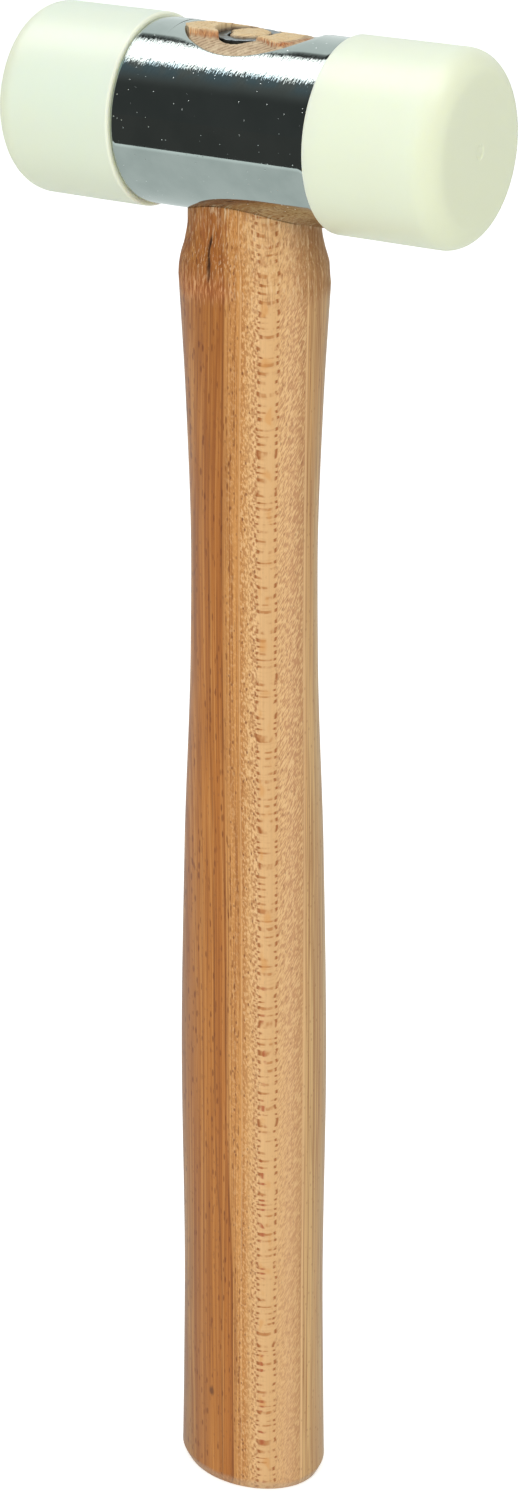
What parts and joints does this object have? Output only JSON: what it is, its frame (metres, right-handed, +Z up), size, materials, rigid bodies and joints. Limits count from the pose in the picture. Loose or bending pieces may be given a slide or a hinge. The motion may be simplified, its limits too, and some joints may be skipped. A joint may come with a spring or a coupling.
{
  "type": "soft-face hammer",
  "caption": "Soft-face hammer: chromed steel tube head, pale nylon tips that screw out, and an oval wooden handle fixed by a ring wedge.",
  "frame": {"origin": "centre of the handle's butt face, where the hammer stands on end", "axes": "+Z up the handle to the head, +X along the head to the right tip, +Y across the head"},
  "size_m": [0.0914, 0.035, 0.3013],
  "materials": {
    "chromed_steel": "bright chrome plate on steel tube",
    "nylon": "satin natural nylon, slightly translucent",
    "handle_wood": "clear-lacquered hardwood, bare end grain",
    "wedge_steel": "plain steel, cut end"
  },
  "bodies": {
    "hammer": {"head_tube": "chromed_steel", "handle": "handle_wood", "ring_wedge": "wedge_steel"},
    "tip_right": {"tip_right": "nylon"},
    "tip_left": {"tip_left": "nylon"}
  },
  "joints": [
    {"name": "tip_right_out", "type": "slide", "parent": "hammer", "child": "tip_right", "axis": [1, 0, 0], "range_m": [0, 0.012]},
    {"name": "tip_left_out", "type": "slide", "parent": "hammer", "child": "tip_left", "axis": [-1, 0, 0], "range_m": [0, 0.012]}
  ]
}
